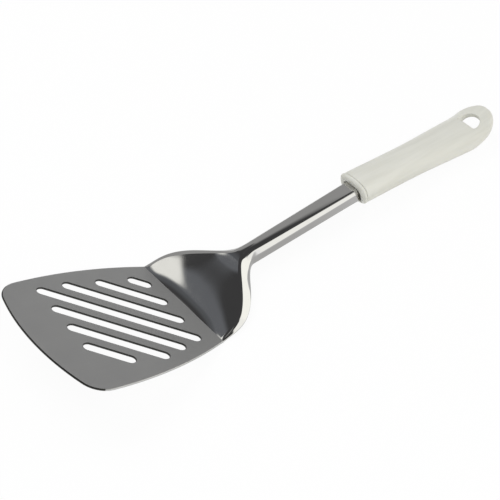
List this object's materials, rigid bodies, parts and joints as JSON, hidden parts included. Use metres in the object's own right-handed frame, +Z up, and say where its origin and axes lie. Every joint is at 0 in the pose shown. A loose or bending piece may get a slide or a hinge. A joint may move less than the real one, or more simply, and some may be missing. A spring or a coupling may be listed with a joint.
{
  "type": "slotted turner",
  "caption": "Slotted kitchen turner: flared flat steel blade with slanting drain slots, a cranked channel stem and a rounded off-white plastic grip with a hang hole in its tail.",
  "frame": {"origin": "middle of the bounding box's bottom, on the table that the turner rests on", "axes": "+X from the blade to the tail of the grip, +Z up from the table, +Y across the blade"},
  "size_m": [0.3356, 0.0958, 0.0367],
  "materials": {
    "stainless_steel": "satin blade, polished shoulder and stem",
    "grip_plastic": "smooth satin, slightly translucent off-white",
    "collar_plastic": "smooth satin, slightly translucent off-white"
  },
  "bodies": {
    "root": {"blade_stem": "stainless_steel", "handle_body": "grip_plastic", "handle_collar": "collar_plastic"}
  },
  "joints": []
}
